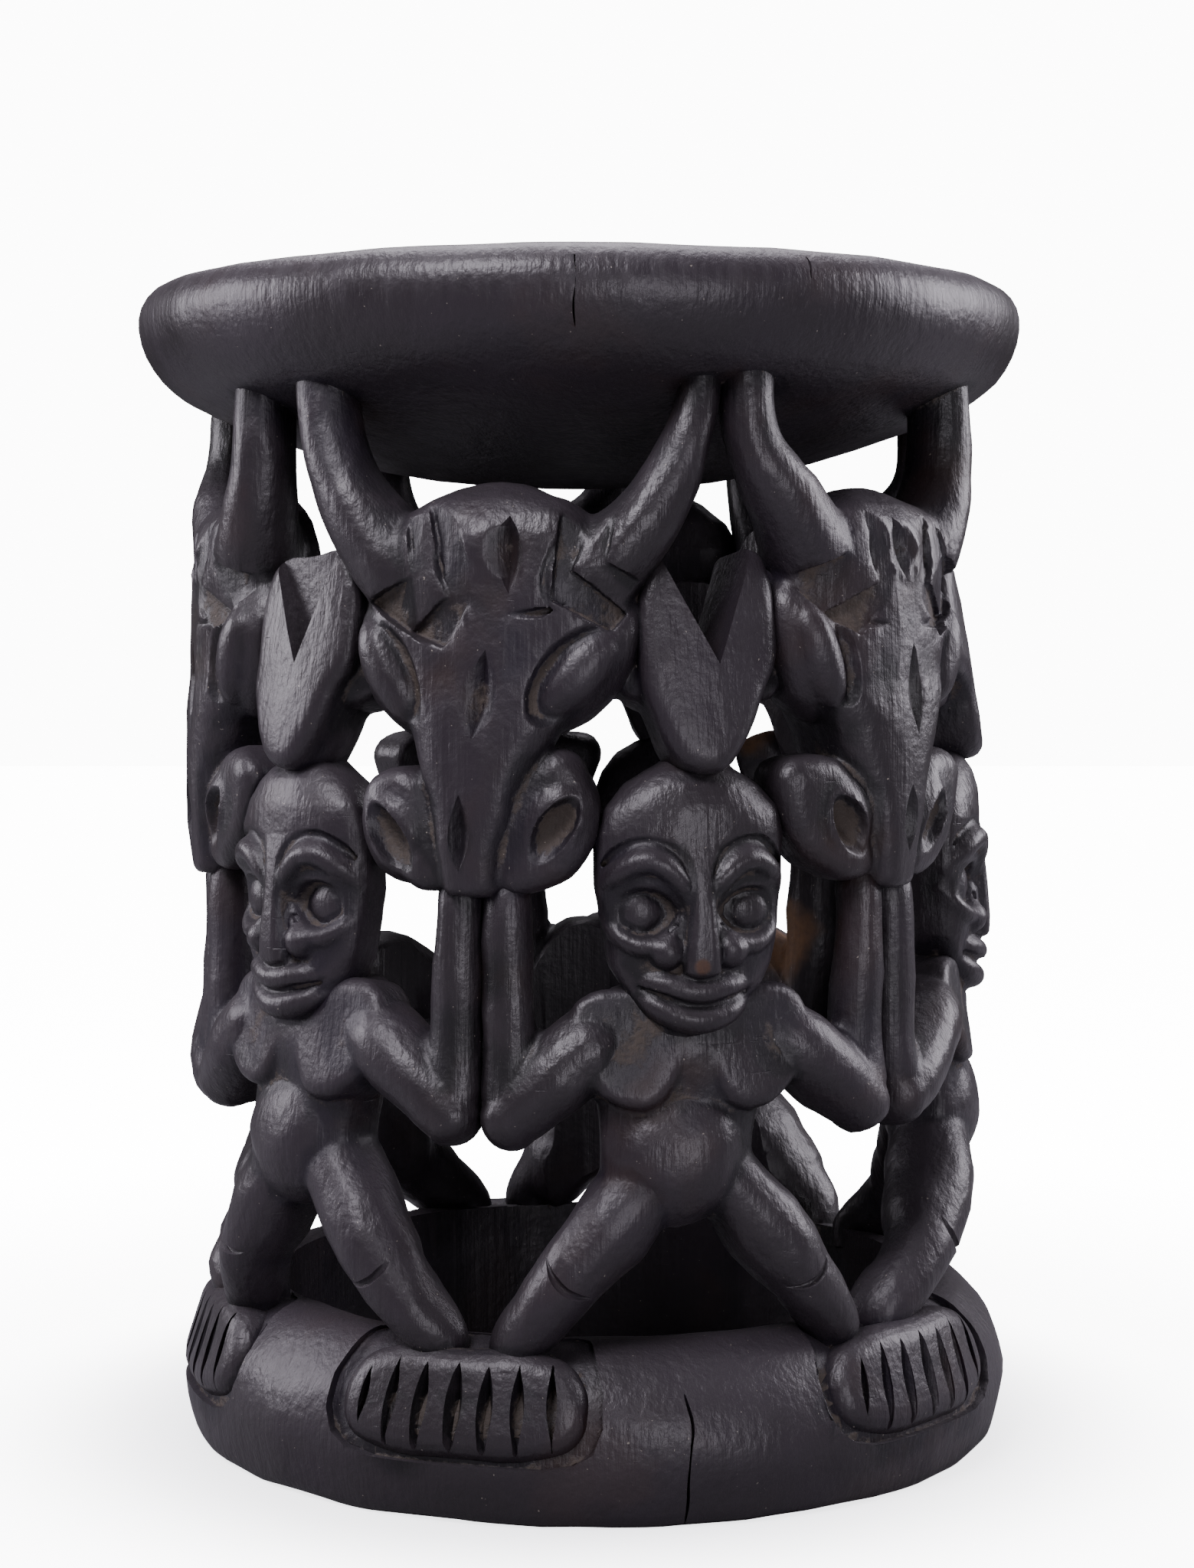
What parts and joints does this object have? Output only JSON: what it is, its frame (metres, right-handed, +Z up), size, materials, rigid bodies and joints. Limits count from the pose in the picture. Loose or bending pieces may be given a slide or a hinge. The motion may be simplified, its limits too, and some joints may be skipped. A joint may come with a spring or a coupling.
{
  "type": "carved wooden stool",
  "caption": "Round stool carved from one block of dark wood: standing figures and buffalo heads ring the hollow middle and carry a thick dished seat.",
  "frame": {"origin": "on the floor, under the middle of the seat", "axes": "+Z up, the front faces -Y, +X to the viewer's right"},
  "size_m": [0.347, 0.347, 0.45],
  "materials": {
    "dark_wood": "nearly black stained hardwood, rubbed to a soft gloss, with dust in its cuts and brown wear on its edges"
  },
  "bodies": {
    "root": {"carved_stool": "dark_wood"}
  },
  "joints": []
}
